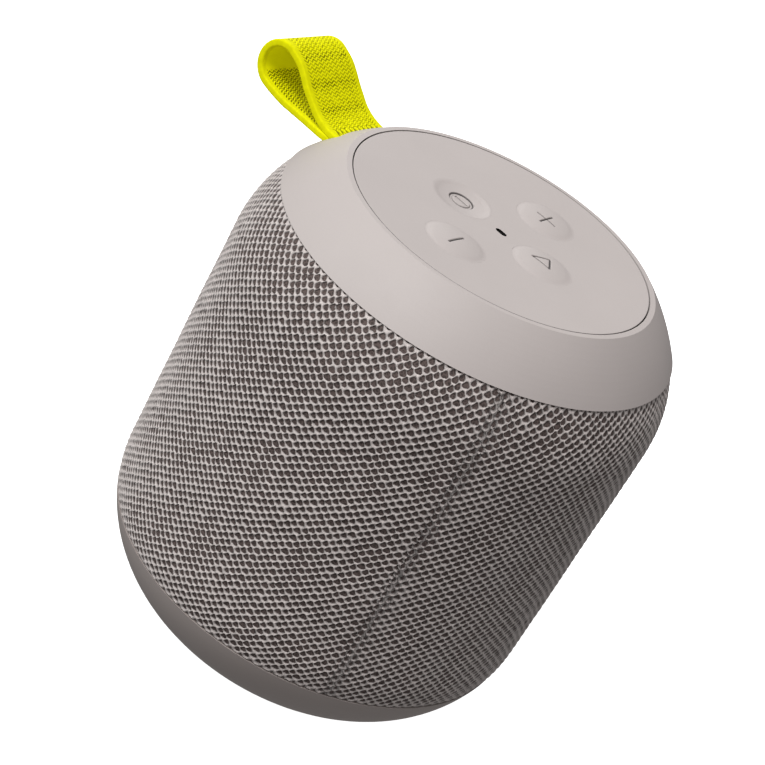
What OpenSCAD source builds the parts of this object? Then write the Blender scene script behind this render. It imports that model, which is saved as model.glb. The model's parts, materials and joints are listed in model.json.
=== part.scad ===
// Portable speaker: an upright drum with a fabric sleeve, a dished control panel in a sloping
// cap, a hanging loop at the back and a rounded base. +Z is up, +Y is the back, where the loop
// and the charging port are. The origin is the middle of the foot pad, on the table.

/* [Body] */
// Height from the table to the rim of the cap
body_h = 100; // [98:0.5:102]
// Largest diameter, over the fabric
body_d = 93.2; // [92.8:0.2:95]
// Radius of the rounded shoulder, seen from the side
shoulder_r = 29; // [28.5:0.5:30]
// Radius of the rounded lower edge, seen from the side
heel_r = 27; // [26:0.5:28]
// Height where the lower edge starts to turn in
heel_z = 21.5; // [21:0.5:22]
// Height of the joint between the base and the fabric
base_h = 14.2; // [13.8:0.2:14.6]
// Height of the cap, from the fabric to the rim
cap_h = 9.5; // [9.3:0.1:9.8]

/* [Cap and panel] */
// Radius of the rim's outer edge
rim_r = 33.4; // [33.2:0.1:33.8]
// Radius of the cap's lower edge
cap_edge_r = 42.7; // [42.6:0.1:43]
// How far the cap's side bulges past a straight line
cap_bulge = 0.5; // [0.3:0.1:0.7]
// Wall thickness of the cap and the base
wall = 2.2; // [2:0.1:2.4]
// Radius of the control panel
panel_r = 32; // [31.8:0.1:32]
// Depth of the panel's dish in its middle
dish = 1; // [0.8:0.1:1.1]

/* [Buttons] */
// Radius of a button
button_r = 6.45; // [6:0.05:6.6]
// Distance from the middle to the plus and minus buttons
side_button_x = 16.4; // [15.8:0.1:16.6]
// Distance from the middle to the power and play buttons
mid_button_y = 10.75; // [10.5:0.05:11]
// Height of a button's dome, and depth of the power button's hollow
dome_h = 0.7; // [0.5:0.1:1]

/* [Hanging loop] */
// Width of the webbing
strap_w = 17.5; // [16:0.5:20]
// Thickness of the webbing
strap_t = 1.5; // [1.3:0.1:1.6]
// Distance from the cap to the middle of the loop's round end
strap_reach = 16; // [14:0.1:18]
// Radius of the round end, outside
strap_end_r = 5.4; // [5:0.1:6]
// Rise of the loop above level, in degrees
strap_rise = 17.5; // [12:0.5:22]

/* [Fabric and grille] */
// Thickness of the fabric
fabric_t = 1.2; // [1:0.1:1.2]
// Thickness of the grille behind it
grille_t = 1.6; // [1.4:0.1:1.6]
// Columns of windows in the grille
grille_columns = 12; // [10:1:14]

/* [Hidden] */
$fn = 96;
eps = 0.01;

// Body outline
body_r = body_d / 2;
cap_z = body_h - cap_h;
shoulder_cos = 1 - (body_r - rim_r) / shoulder_r;
shoulder_z = body_h - shoulder_r * sqrt(1 - shoulder_cos * shoulder_cos);
outline_steps = 12;
joint_gap = 0.1;

// Cap and panel
cap_steps = 10;
dish_steps = 14;
groove_w = 0.25;
ledge_r = 29.3;
ledge_z = body_h - 2;
ledge_t = 1.8;
panel_rim_z = body_h - 0.15;
panel_low_z = body_h - 3;
panel_mid_z = panel_rim_z - dish;
dish_ball_r = (panel_r * panel_r + dish * dish) / (2 * dish);
mic_slot = [1.4, 2.6];
cap_boss_at = [20, 160, 250, 290];
cap_boss_ring = 33.4;
cap_boss_r = 2.8;
cap_boss_low = body_h - 10;

// Buttons: [x, y] of each, its flange, stem and travel
power_at = [0, mid_button_y];
play_at = [0, -mid_button_y];
plus_at = [side_button_x, 0];
minus_at = [-side_button_x, 0];
button_gap = 0.1;
dome_r = button_r - 0.15;
dome_ball_r = (dome_r * dome_r + dome_h * dome_h) / (2 * dome_h);
flange_r = 7.3;
flange_t = 0.6;
flange_z = panel_low_z - button_gap - flange_t;
board_r = 27;
board_z = body_h - 8.2;
board_t = 1.6;
board_post_ring = 22;
stem_r = 2;
stem_z = board_z + board_t + 2.3;
switch_w = 4.5;
switch_h = 1.6;
plunger_r = 0.9;
plunger_z = board_z + board_t + 1.1;
mic_r = 2;
mic_h = 1;

// Screws: shank radius, clearance radius, head radius and height
shank_r = 1.05;
clear_r = 1.15;
head_r = 2.2;
head_h = 1.1;

// Top frame, between the enclosure and the cap
frame_z = 84.6;
frame_t = 2;
frame_r = 38;
frame_wall = 2;

// Hanging loop: where it bends at the slot, and its pin inside
strap_root = [41.1, body_h - 5.3];
strap_pin_at = [31.5, body_h - 6.9];
strap_pin_r = 1.5;
strap_eye_r = 3;
strap_play = 0.4;
strap_steps = 20;
strap_half_angle = asin((strap_end_r - strap_t) / strap_reach);
strap_join = 1.7;
slot_half_h = strap_t + strap_play;
slot_w = strap_w + 0.8;
strap_tail_t = 2.4;
lug_x = 9.2;
lug_t = 2.3;
lug_y = [29.5, 33.3];
lug_over = 1.9;

// Base
floor_z = 0.8;
floor_t = 2.4;
pad_r = 34.6;
pad_t = 1.6;
base_screw_ring = 32;
base_screw_at = [20:90:290];
base_post_r = 3;
base_post_top = 5;
port_w = 14;
port_low = 6;
port_high = 11.8;
port_tunnel_y = 35;
port_tunnel_t = 1.2;
flap_gap = 0.2;
flap_t = 1.8;
main_board_r = 28;
main_board_z = 6;
main_board_t = 1.6;
main_tongue = [12, 34];
usb_w = 9;
usb_h = 3.2;
usb_l = 7.5;
usb_wall = 0.35;

// Enclosure
box_z = 17;
box_top = 81.4;
box_r = 42.4;
box_flat = 36.5;
box_wall = 2.5;
seal_t = 0.6;
lid_t = 2.5;
lid_inset = 0.4;
driver_z = 50;
driver_hole_r = 18.8;
radiator_hole_r = 18.3;
lid_screw_ring = 33;
lid_post_r = 3.2;
corner_flat = 40.9;
flange_face = box_flat + 1.5;

// Battery
cell_r = 9.2;
cell_l = 50;
cell_z = 24.5;

// Flat cable between the boards, as [distance from the axis, height], on the 45 degree corner
cable_t = 0.3;
cable_w = 10;
cable_path = [[27.5, 7.7], [34, 8.6], [41.3, 16.6], [41.3, 84.8], [39.1, 87], [39.1, 90.3], [26.5, 91.4]];

// Radius of the body's outline at a height
function outline_r(z) =
    z > shoulder_z ? body_r - arc_drop(z - shoulder_z, shoulder_r) :
    z < heel_z ? body_r - arc_drop(heel_z - z, heel_r) :
    body_r;

// How far an arc of radius r has turned in at a distance d along its tangent
function arc_drop(d, r) = r - sqrt(r * r - d * d);

// Points on the outline between two heights, moved in by inset
function outline(z0, z1, inset, n = outline_steps) =
    [for (i = [0:n]) let (z = z0 + (z1 - z0) * i / n) [outline_r(z) - inset, z]];

// Points of a list in the opposite order
function flipped(points) = [for (i = [len(points) - 1:-1:0]) points[i]];

// Point on the cap's side, from its lower edge (t = 0) to the rim (t = 1), moved in by inset
function cap_point(t, inset) =
    let (run = [rim_r - cap_edge_r, cap_h])
    let (out = [cap_h, cap_edge_r - rim_r] / norm(run))
    [cap_edge_r, cap_z] + run * t + out * (4 * cap_bulge * t * (1 - t) - inset);

// Points of an arc
function arc(centre, r, a0, a1, n) =
    [for (i = [0:n]) centre + r * [cos(a0 + (a1 - a0) * i / n), sin(a0 + (a1 - a0) * i / n)]];

// Height of the dished panel at a distance from the middle
function panel_height(d) = panel_mid_z + dish_ball_r - sqrt(dish_ball_r * dish_ball_r - d * d);

// Ring shape between two radii and two heights
module ring(r0, r1, z0, z1) {
    rotate_extrude()
        translate([r0, z0]) square([r1 - r0, z1 - z0]);
}

// Sleeve that follows the outline between two heights
module sleeve(z0, z1, inset, thickness, n) {
    rotate_extrude()
        polygon(concat(outline(z0, z1, inset, n), flipped(outline(z0, z1, inset + thickness, n))));
}

// Screw that points down from the underside of its head at z
module screw(z, length) {
    translate([0, 0, z]) cylinder(r = head_r, h = head_h);
    translate([0, 0, z - length]) cylinder(r = shank_r, h = length);
}

// Children on a circle, at each angle of a list
module around(radius, angles) {
    for (a = angles) {
        rotate([0, 0, a]) translate([radius, 0, 0]) children();
    }
}

// Side outline, drawn in Y and Z, as a solid of a width in X
module across(width) {
    rotate([90, 0, 90]) linear_extrude(width, center = true) children();
}

// Space above the dished panel, which cuts the top of the panel and of the buttons
module above_dish() {
    reach = panel_r + 1;
    over = body_h + 5;
    floor = [for (i = [0:dish_steps]) let (d = reach * i / dish_steps) [d, panel_height(d)]];
    rotate_extrude() polygon(concat(floor, [[reach, over], [0, over]]));
}

// ---- Cap, panel and buttons ----

module top_cap() {
    ledge_low = ledge_z - ledge_t;
    side = [for (i = [0:cap_steps]) cap_point(i / cap_steps, 0)];
    inside = [for (i = [0:cap_steps]) cap_point(i / cap_steps, wall)];
    hollow = [for (p = inside) if (p[1] > cap_z && p[1] < ledge_low) p];
    inner_foot = [cap_point(0.17, wall)[0], cap_z];
    slot_z = strap_root[1];
    color("#c9c0bd") difference() {
        union() {
            rotate_extrude()
                polygon(concat(
                    side,
                    [[panel_r + groove_w, body_h], [panel_r + groove_w, ledge_z]],
                    [[ledge_r, ledge_z], [ledge_r, ledge_low]],
                    [[hollow[len(hollow) - 1][0], ledge_low]],
                    flipped(hollow),
                    [inner_foot]
                ));
            around(cap_boss_ring, cap_boss_at)
                translate([0, 0, cap_boss_low])
                    cylinder(r = cap_boss_r, h = ledge_low + 0.3 - cap_boss_low);
        }
        translate([-slot_w / 2, ledge_r + 5, slot_z - slot_half_h])
            cube([slot_w, 20, 2 * slot_half_h]);
        around(cap_boss_ring, cap_boss_at)
            translate([0, 0, cap_boss_low - eps]) cylinder(r = clear_r, h = 5);
    }
}

module control_panel() {
    color("#c8bebb") difference() {
        union() {
            translate([0, 0, ledge_z]) cylinder(r = panel_r, h = body_h - ledge_z);
            translate([0, 0, panel_low_z]) cylinder(r = ledge_r - 0.3, h = body_h - panel_low_z);
        }
        above_dish();
        for (at = [power_at, play_at, plus_at, minus_at]) {
            translate([at[0], at[1], panel_low_z - 1]) cylinder(r = button_r + button_gap, h = 5);
        }
        translate([0, 0, panel_low_z - 1]) mic_opening(5);
    }
}

// Round-ended opening over the microphone
module mic_opening(h) {
    reach = (mic_slot[1] - mic_slot[0]) / 2;
    for (y = [-reach, reach]) {
        translate([0, y, 0]) cylinder(r = mic_slot[0] / 2, h = h);
    }
    translate([-mic_slot[0] / 2, -reach, 0]) cube([mic_slot[0], 2 * reach, h]);
}

// Button body, level with the panel round its edge
module button_body(at) {
    difference() {
        translate([at[0], at[1], flange_z]) cylinder(r = button_r, h = body_h - flange_z);
        above_dish();
    }
    translate([at[0], at[1], flange_z]) cylinder(r = flange_r, h = flange_t);
    translate([at[0], at[1], stem_z]) cylinder(r = stem_r, h = flange_z - stem_z + eps);
}

// Part of a ball that stands on the panel as a dome
module dome(at) {
    top = panel_height(norm(at)) + dome_h;
    intersection() {
        translate([at[0], at[1], top - dome_ball_r]) sphere(r = dome_ball_r);
        translate([at[0], at[1], flange_z]) cylinder(r = dome_r, h = body_h);
    }
}

module domed_button(at) {
    color("#c6bcb9") {
        button_body(at);
        dome(at);
    }
}

module power_button() {
    low = panel_height(mid_button_y) - dome_h;
    color("#c6bcb9") difference() {
        button_body(power_at);
        translate([power_at[0], power_at[1], low + dome_ball_r]) sphere(r = dome_ball_r);
    }
}

module plus_button() {
    domed_button(plus_at);
}

module minus_button() {
    domed_button(minus_at);
}

module play_button() {
    domed_button(play_at);
}

// ---- Button board ----

module plunger(at) {
    color("#2b2b2b")
        translate([at[0], at[1], plunger_z]) cylinder(r = plunger_r, h = stem_z - plunger_z);
}

module power_plunger() {
    plunger(power_at);
}

module plus_plunger() {
    plunger(plus_at);
}

module minus_plunger() {
    plunger(minus_at);
}

module play_plunger() {
    plunger(play_at);
}

module switch_bodies() {
    low = board_z + board_t;
    color("#8d9094") for (at = [power_at, play_at, plus_at, minus_at]) {
        translate([at[0], at[1], low]) difference() {
            translate([-switch_w / 2, -switch_w / 2, 0]) cube([switch_w, switch_w, switch_h]);
            translate([0, 0, 0.5]) cylinder(r = plunger_r + 0.1, h = switch_h);
        }
    }
}

module button_board() {
    color("#1f5b3a") difference() {
        translate([0, 0, board_z]) cylinder(r = board_r, h = board_t);
        around(board_post_ring, [45:90:315])
            translate([0, 0, board_z - 1]) cylinder(r = clear_r, h = board_t + 2);
    }
}

module board_screws() {
    color("#9a9ca0") around(board_post_ring, [45:90:315]) screw(board_z + board_t, 4.5);
}

module microphone() {
    color("#b9a76a") translate([0, 0, board_z + board_t]) cylinder(r = mic_r, h = mic_h);
}

module mic_gasket() {
    color("#1c1c1c") ring(1.6, 3, board_z + board_t + mic_h, panel_low_z);
}

// ---- Frame under the cap ----

module top_frame() {
    top = frame_z + frame_t;
    wall_top = cap_boss_low;
    color("#3a3a3c") difference() {
        union() {
            ring(8, frame_r, frame_z, top);
            ring(frame_r - frame_wall, frame_r, top - eps, wall_top);
            around(cap_boss_ring, cap_boss_at)
                translate([0, 0, top - eps]) cylinder(r = 3, h = wall_top - top);
            around(board_post_ring, [45:90:315])
                translate([0, 0, top - eps]) cylinder(r = 2.4, h = board_z - top);
            for (side = [-1, 1]) {
                translate([side * (lug_x + lug_t / 2) - lug_t / 2, lug_y[0], top - eps])
                    cube([lug_t, lug_y[1] - lug_y[0], strap_pin_at[1] + lug_over - top]);
            }
        }
        translate([0, strap_pin_at[0], strap_pin_at[1]])
            rotate([0, 90, 0]) cylinder(r = strap_pin_r + 0.02, h = 40, center = true);
        around(cap_boss_ring, cap_boss_at) {
            translate([0, 0, frame_z - 1]) cylinder(r = clear_r, h = 9);
            translate([0, 0, frame_z - 1]) cylinder(r = head_r + 0.1, h = 1 + head_h + 0.1);
        }
        around(board_post_ring, [45:90:315])
            translate([0, 0, top + 1]) cylinder(r = clear_r, h = 9);
        around(lid_screw_ring, [45:90:315])
            translate([0, 0, frame_z - 1]) cylinder(r = clear_r, h = 4);
    }
}

module cap_screws() {
    color("#9a9ca0") around(cap_boss_ring, cap_boss_at)
        translate([0, 0, 2 * frame_z + 1.2]) mirror([0, 0, 1]) screw(frame_z + 0.1, 8.5);
}

// ---- Hanging loop ----

// Outline round two circles, the first at the origin and the second at a distance
function belt(r0, r1, distance) =
    let (turn = 90 + asin((r1 - r0) / distance))
    concat(arc([distance, 0], r1, -turn, turn, strap_steps), arc([0, 0], r0, turn, 360 - turn, 12));

module hang_strap() {
    tip = strap_end_r - strap_t;
    bore = [
        for (p = arc([strap_reach, 0], tip, -90 - strap_half_angle, 90 + strap_half_angle, strap_steps)) p
    ];
    color("#e3ee1c") across(strap_w)
        translate(strap_root) rotate(strap_rise)
            difference() {
                polygon(belt(strap_t, strap_end_r, strap_reach));
                polygon(concat(bore, [[strap_join, 0]]));
            }
}

module strap_tail() {
    run = strap_root - strap_pin_at;
    color("#d5e01a") across(strap_w)
        difference() {
            union() {
                translate(strap_pin_at) circle(r = strap_eye_r);
                translate(strap_pin_at) rotate(atan2(run[1], run[0]))
                    translate([0, -strap_tail_t / 2]) square([norm(run), strap_tail_t]);
            }
            translate(strap_pin_at) circle(r = strap_pin_r + 0.05);
            translate(strap_root) circle(r = strap_t + 2 * strap_play);
        }
}

module strap_pin() {
    length = 2 * (lug_x + lug_t) - 1;
    color("#a9abae") translate([0, strap_pin_at[0], strap_pin_at[1]])
        rotate([0, 90, 0]) cylinder(r = strap_pin_r, h = length, center = true);
}

// ---- Fabric and grille ----

module fabric_sleeve() {
    color("#a39a96") sleeve(base_h + joint_gap, cap_z - joint_gap, 0, fabric_t, 2 * outline_steps);
}

module grille_tube() {
    inset = fabric_t + 0.1;
    window = [11, 13];
    color("#2e2c2c") difference() {
        sleeve(base_h + joint_gap, cap_z - joint_gap, inset, grille_t, 2 * outline_steps);
        for (row = [0:2]) {
            around(body_r - inset - grille_t / 2, [for (i = [0:grille_columns - 1]) 360 * i / grille_columns])
                translate([-4, -window[0] / 2, heel_z + 3.5 + row * (window[1] + 3)])
                    cube([8, window[0], window[1]]);
        }
    }
}

// ---- Base ----

module base_cap() {
    top = base_h - joint_gap;
    floor_top = floor_z + floor_t;
    color("#b5aca9") difference() {
        union() {
            rotate_extrude()
                polygon(concat(
                    [[0, floor_z]],
                    outline(floor_z, top, 0),
                    flipped(outline(floor_top, top, wall)),
                    [[0, floor_top]]
                ));
            around(base_screw_ring, base_screw_at)
                translate([0, 0, floor_top - eps]) cylinder(r = base_post_r, h = base_post_top - floor_top);
            intersection() {
                translate([-port_w / 2 - port_tunnel_t, port_tunnel_y, port_low - port_tunnel_t])
                    cube([port_w + 2 * port_tunnel_t, 20, port_high - port_low + 2 * port_tunnel_t]);
                rotate_extrude()
                    polygon(concat([[0, floor_z]], outline(floor_z, top, wall / 2), [[0, top]]));
            }
        }
        translate([-port_w / 2, port_tunnel_y - 1, port_low])
            cube([port_w, 20, port_high - port_low]);
        translate([0, 0, floor_z - 1]) cylinder(r = pad_r + 0.1, h = 1 + pad_t - floor_z);
        around(base_screw_ring, base_screw_at) {
            translate([0, 0, floor_z]) cylinder(r = clear_r, h = 6);
            translate([0, 0, floor_z]) cylinder(r = head_r + 0.1, h = pad_t - floor_z + head_h + 0.1);
        }
    }
}

module foot_pad() {
    color("#8f8784") cylinder(r = pad_r, h = pad_t);
}

// Cover that follows the base
module port_flap() {
    color("#aaa19e") intersection() {
        sleeve(port_low - 2, port_high + 2, 0, flap_t, outline_steps);
        translate([flap_gap - port_w / 2, 0, port_low + flap_gap])
            cube([port_w - 2 * flap_gap, 60, port_high - port_low - 2 * flap_gap]);
    }
}

// Round-ended bar along Y, as used by the socket
module bar(w, h, l) {
    for (x = [h / 2 - w / 2, w / 2 - h / 2]) {
        translate([x, 0, h / 2]) rotate([-90, 0, 0]) cylinder(r = h / 2, h = l);
    }
    translate([h / 2 - w / 2, 0, 0]) cube([w - h, l, h]);
}

module usb_socket() {
    inner_h = usb_h - 2 * usb_wall;
    top = main_board_z + main_board_t;
    color("#b4b6b9") translate([0, main_tongue[1] - usb_l + 0.5, top]) {
        difference() {
            bar(usb_w, usb_h, usb_l);
            translate([0, 1, usb_wall]) bar(usb_w - 2 * usb_wall, inner_h, usb_l);
        }
        translate([-3.3, 0.5, usb_h / 2 - 0.35]) cube([6.6, usb_l - 1.5, 0.7]);
    }
}

module main_board() {
    color("#1f5b3a") translate([0, 0, main_board_z]) union() {
        cylinder(r = main_board_r, h = main_board_t);
        translate([-main_tongue[0] / 2, 0, 0]) cube([main_tongue[0], main_tongue[1], main_board_t]);
    }
}

module radio_module() {
    color("#bfc1c4") translate([-9, -16, main_board_z + main_board_t]) cube([18, 12, 2.2]);
}

module base_screws() {
    color("#9a9ca0") around(base_screw_ring, base_screw_at)
        translate([0, 0, 2 * pad_t + head_h + 0.05]) mirror([0, 0, 1]) screw(pad_t + 0.05, 9);
}

// ---- Enclosure ----

// Round-cornered square of the enclosure, moved in by inset
module box_outline(inset) {
    intersection() {
        circle(r = box_r - inset);
        square(2 * (box_flat - inset), center = true);
    }
}

module enclosure_shell() {
    floor_top = box_z + box_wall;
    color("#38383a") difference() {
        union() {
            difference() {
                translate([0, 0, box_z]) linear_extrude(box_top - box_z) box_outline(0);
                translate([0, 0, floor_top]) linear_extrude(box_top) box_outline(box_wall);
            }
            around(lid_screw_ring, [45:90:315])
                translate([0, 0, box_z]) cylinder(r = lid_post_r, h = box_top - box_z);
            around(base_screw_ring, base_screw_at)
                translate([0, 0, base_post_top + 0.1]) cylinder(r = base_post_r, h = box_z - base_post_top);
        }
        around(lid_screw_ring, [45:90:315])
            translate([0, 0, box_top - 12]) cylinder(r = clear_r, h = 20);
        around(base_screw_ring, base_screw_at)
            translate([0, 0, base_post_top]) cylinder(r = clear_r, h = 9);
        for (a = [0, 180]) {
            on_side(a) translate([0, 0, -6]) cylinder(r = driver_hole_r, h = 8);
        }
        for (a = [90, 270]) {
            on_side(a) translate([0, 0, -6]) cylinder(r = radiator_hole_r, h = 8);
        }
        corner_cut();
    }
}

// Shallow flat on one corner, where the flat cable passes
module corner_cut() {
    rotate([0, 0, 45]) translate([corner_flat, -cable_w, 0]) cube([10, 2 * cable_w, body_h]);
}

module lid_seal() {
    color("#1c1c1c") difference() {
        translate([0, 0, box_top]) linear_extrude(seal_t) box_outline(0);
        translate([0, 0, box_top - 1]) linear_extrude(seal_t + 2) box_outline(box_wall);
        corner_cut();
    }
}

module enclosure_lid() {
    low = box_top + seal_t;
    color("#38383a") difference() {
        translate([0, 0, low]) linear_extrude(lid_t) box_outline(lid_inset);
        around(lid_screw_ring, [45:90:315])
            translate([0, 0, low - 1]) cylinder(r = clear_r, h = lid_t + 2);
        corner_cut();
    }
}

module lid_screws() {
    color("#9a9ca0") around(lid_screw_ring, [45:90:315]) screw(frame_z + frame_t, 14);
}

// ---- Drivers and passive radiators ----

// Puts a piece drawn with +Z outwards on a side of the enclosure
module on_side(angle) {
    rotate([0, 0, angle]) translate([flange_face, 0, driver_z]) rotate([0, 90, 0]) children();
}

module basket() {
    color("#4a4c50") rotate_extrude()
        polygon([
            [17.6, 0], [20, 0], [20, -1.5], [18.5, -1.5], [12.9, -11.5],
            [5.2, -11.5], [5.2, -10.3], [11.9, -10.3], [17.6, -1.2]
        ]);
}

module magnet() {
    color("#6d7075") rotate_extrude()
        polygon([
            [0, -18.5], [12.5, -18.5], [12.5, -11.5], [5.1, -11.5],
            [5.1, -17], [3.6, -17], [3.6, -11.5], [0, -11.5]
        ]);
}

module cone() {
    color("#2a2a2c") rotate_extrude()
        polygon([
            [0, -5.6], [2.4, -6], [4.6, -7.4], [13.3, -1.6], [13.3, -2.2], [4.6, -8.4],
            [4.6, -14.4], [4.1, -14.4], [4.1, -7.9], [2.2, -6.6], [0, -6.2]
        ]);
}

// Half roll of rubber round a moving piece
module surround(middle, outer, inner) {
    color("#1c1c1c") rotate_extrude()
        translate([middle, -1.2]) difference() {
            circle(r = outer);
            circle(r = inner);
            translate([-outer, -outer]) square([2 * outer, outer]);
        }
}

module radiator_frame() {
    color("#4a4c50") rotate_extrude()
        polygon([[17.6, 0], [20, 0], [20, -1.5], [18, -1.5], [18, -5], [17.6, -5]]);
}

module radiator_plate() {
    color("#55585c") rotate_extrude()
        polygon([[0, -1], [12.9, -1], [12.9, -2.6], [7, -2.6], [7, -5.6], [0, -5.6]]);
}

module right_basket() {
    on_side(0) basket();
}

module right_magnet() {
    on_side(0) magnet();
}

module right_cone() {
    on_side(0) cone();
}

module right_surround() {
    on_side(0) surround(15.5, 1.9, 1.4);
}

module left_basket() {
    on_side(180) basket();
}

module left_magnet() {
    on_side(180) magnet();
}

module left_cone() {
    on_side(180) cone();
}

module left_surround() {
    on_side(180) surround(15.5, 1.9, 1.4);
}

module front_radiator_frame() {
    on_side(270) radiator_frame();
}

module front_radiator_plate() {
    on_side(270) radiator_plate();
}

module front_radiator_surround() {
    on_side(270) surround(15.25, 2.1, 1.6);
}

module rear_radiator_frame() {
    on_side(90) radiator_frame();
}

module rear_radiator_plate() {
    on_side(90) radiator_plate();
}

module rear_radiator_surround() {
    on_side(90) surround(15.25, 2.1, 1.6);
}

// ---- Battery and cable ----

module battery_cell() {
    color("#3f6fa8") translate([0, 0, cell_z]) cylinder(r = cell_r, h = cell_l);
}

module battery_cradle() {
    low = box_z + box_wall;
    color("#4c4c4f") difference() {
        translate([0, 0, low]) cylinder(r = cell_r + 2.2, h = 20);
        translate([0, 0, cell_z]) cylinder(r = cell_r + 0.1, h = 20);
    }
}

// Unit vector at right angles to the cable's path at a point, halfway between its two stretches
function cable_side(i) =
    let (before = cable_path[max(i - 1, 0)])
    let (after = cable_path[min(i + 1, len(cable_path) - 1)])
    let (along = after - before)
    [-along[1], along[0]] / norm(along);

module flex_cable() {
    inner = [for (i = [0:len(cable_path) - 1]) cable_path[i] + cable_t * cable_side(i)];
    color("#c8862a") rotate([0, 0, -45])
        across(cable_w) polygon(concat(cable_path, flipped(inner)));
}

top_cap();
control_panel();
power_button();
plus_button();
minus_button();
play_button();
power_plunger();
plus_plunger();
minus_plunger();
play_plunger();
switch_bodies();
button_board();
board_screws();
microphone();
mic_gasket();
top_frame();
cap_screws();
hang_strap();
strap_tail();
strap_pin();
fabric_sleeve();
grille_tube();
base_cap();
foot_pad();
port_flap();
usb_socket();
main_board();
radio_module();
base_screws();
enclosure_shell();
enclosure_lid();
lid_seal();
lid_screws();
right_basket();
right_magnet();
right_cone();
right_surround();
left_basket();
left_magnet();
left_cone();
left_surround();
front_radiator_frame();
front_radiator_plate();
front_radiator_surround();
rear_radiator_frame();
rear_radiator_plate();
rear_radiator_surround();
battery_cell();
battery_cradle();
flex_cable();
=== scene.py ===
"""Looks of the portable speaker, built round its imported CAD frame.

Lengths are in millimetres in the row frame, and turn into metres where a mesh is made. +Z is up,
+Y is the back, where the hanging loop is, and the origin is the middle of the foot's underside.
"""

import json
import math

import bpy
import numpy as np
from mathutils import Matrix, Vector
from mathutils.geometry import delaunay_2d_cdt


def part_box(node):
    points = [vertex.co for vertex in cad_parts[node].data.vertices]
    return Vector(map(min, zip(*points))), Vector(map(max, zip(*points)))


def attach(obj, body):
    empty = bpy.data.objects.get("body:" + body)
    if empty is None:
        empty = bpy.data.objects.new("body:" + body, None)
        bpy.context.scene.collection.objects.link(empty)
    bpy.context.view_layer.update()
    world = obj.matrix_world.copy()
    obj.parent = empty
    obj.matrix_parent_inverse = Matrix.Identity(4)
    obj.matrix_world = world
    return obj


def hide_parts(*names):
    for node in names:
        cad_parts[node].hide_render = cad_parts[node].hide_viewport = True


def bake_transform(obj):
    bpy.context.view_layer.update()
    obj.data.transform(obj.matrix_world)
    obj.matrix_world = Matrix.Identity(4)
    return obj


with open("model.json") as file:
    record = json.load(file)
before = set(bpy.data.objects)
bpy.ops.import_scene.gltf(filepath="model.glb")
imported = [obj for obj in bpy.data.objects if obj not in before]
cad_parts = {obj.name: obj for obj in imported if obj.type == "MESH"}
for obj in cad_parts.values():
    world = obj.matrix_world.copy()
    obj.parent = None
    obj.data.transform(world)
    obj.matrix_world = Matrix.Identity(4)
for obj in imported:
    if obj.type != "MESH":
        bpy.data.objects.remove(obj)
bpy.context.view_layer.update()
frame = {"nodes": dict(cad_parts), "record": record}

MM = 0.001
TAU = 2 * math.pi
rng = np.random.default_rng(41)


# ---- Places taken from the CAD nodes ----


def box_mm(node):
    """Lowest and highest corner of a CAD node, in millimetres."""
    low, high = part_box(node)
    return np.array(low) / MM, np.array(high) / MM


def centre_mm(node):
    """Middle of a CAD node's box, in millimetres."""
    low, high = box_mm(node)
    return (low + high) / 2


FABRIC_LOW, FABRIC_HIGH = box_mm("fabric_sleeve")
BODY_R = FABRIC_HIGH[0]
TOP_Z = box_mm("top_cap")[1][2]
PANEL_LOW, PANEL_HIGH = box_mm("control_panel")
PANEL_R = PANEL_HIGH[0]

# The outline in section: a straight side between two arcs
HEEL_R = 27
HEEL_Z = 21.5
SHOULDER_R = 29
RIM_R = 33.4
SHOULDER_Z = TOP_Z - SHOULDER_R * math.sqrt(1 - (1 - (BODY_R - RIM_R) / SHOULDER_R) ** 2)


# ---- Mesh making ----


def mesh_object(name, points, faces, values=None, uv=None):
    """Object from points in millimetres and faces of 3 or 4 corners, with values per point."""
    faces = [np.asarray(f, np.int64) for f in faces if len(f)]
    mesh = bpy.data.meshes.new(name)
    mesh.vertices.add(len(points))
    mesh.vertices.foreach_set("co", (np.asarray(points, float) * MM).ravel())
    corners = np.concatenate([f.ravel() for f in faces])
    sizes = np.concatenate([np.full(len(f), f.shape[1]) for f in faces])
    starts = np.concatenate([[0], np.cumsum(sizes)[:-1]])
    mesh.loops.add(len(corners))
    mesh.loops.foreach_set("vertex_index", corners.astype(np.int32))
    mesh.polygons.add(len(sizes))
    mesh.polygons.foreach_set("loop_start", starts.astype(np.int32))
    mesh.polygons.foreach_set("use_smooth", np.full(len(sizes), True))
    for key, value in (values or {}).items():
        layer = mesh.attributes.new(key, "FLOAT", "POINT")
        layer.data.foreach_set("value", np.asarray(value, np.float32))
    if uv is not None:
        layer = mesh.uv_layers.new(name="UVMap")
        layer.data.foreach_set("uv", np.asarray(uv, float)[corners].ravel().astype(np.float32))
    mesh.update(calc_edges=True)
    mesh.validate()
    made = bpy.data.objects.new(name, mesh)
    bpy.context.scene.collection.objects.link(made)
    return made


def strip_faces(rows, columns, closed):
    """Quads of a grid of points stored row after row. closed joins the last column to the first."""
    count = columns if closed else columns - 1
    r, c = np.meshgrid(np.arange(rows - 1), np.arange(count), indexing="ij")
    here, right = r * columns + c, r * columns + (c + 1) % columns
    return np.stack([here, right, right + columns, here + columns], -1).reshape(-1, 4)


def lathe_points(profile, segments):
    """Points of a profile of (radius, height) turned round Z, one ring after another."""
    turn = np.arange(segments) * TAU / segments
    r, z = np.asarray(profile, float).T
    x, y = np.outer(r, np.cos(turn)), np.outer(r, np.sin(turn))
    return np.stack([x, y, np.repeat(z[:, None], segments, 1)], -1).reshape(-1, 3)


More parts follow.
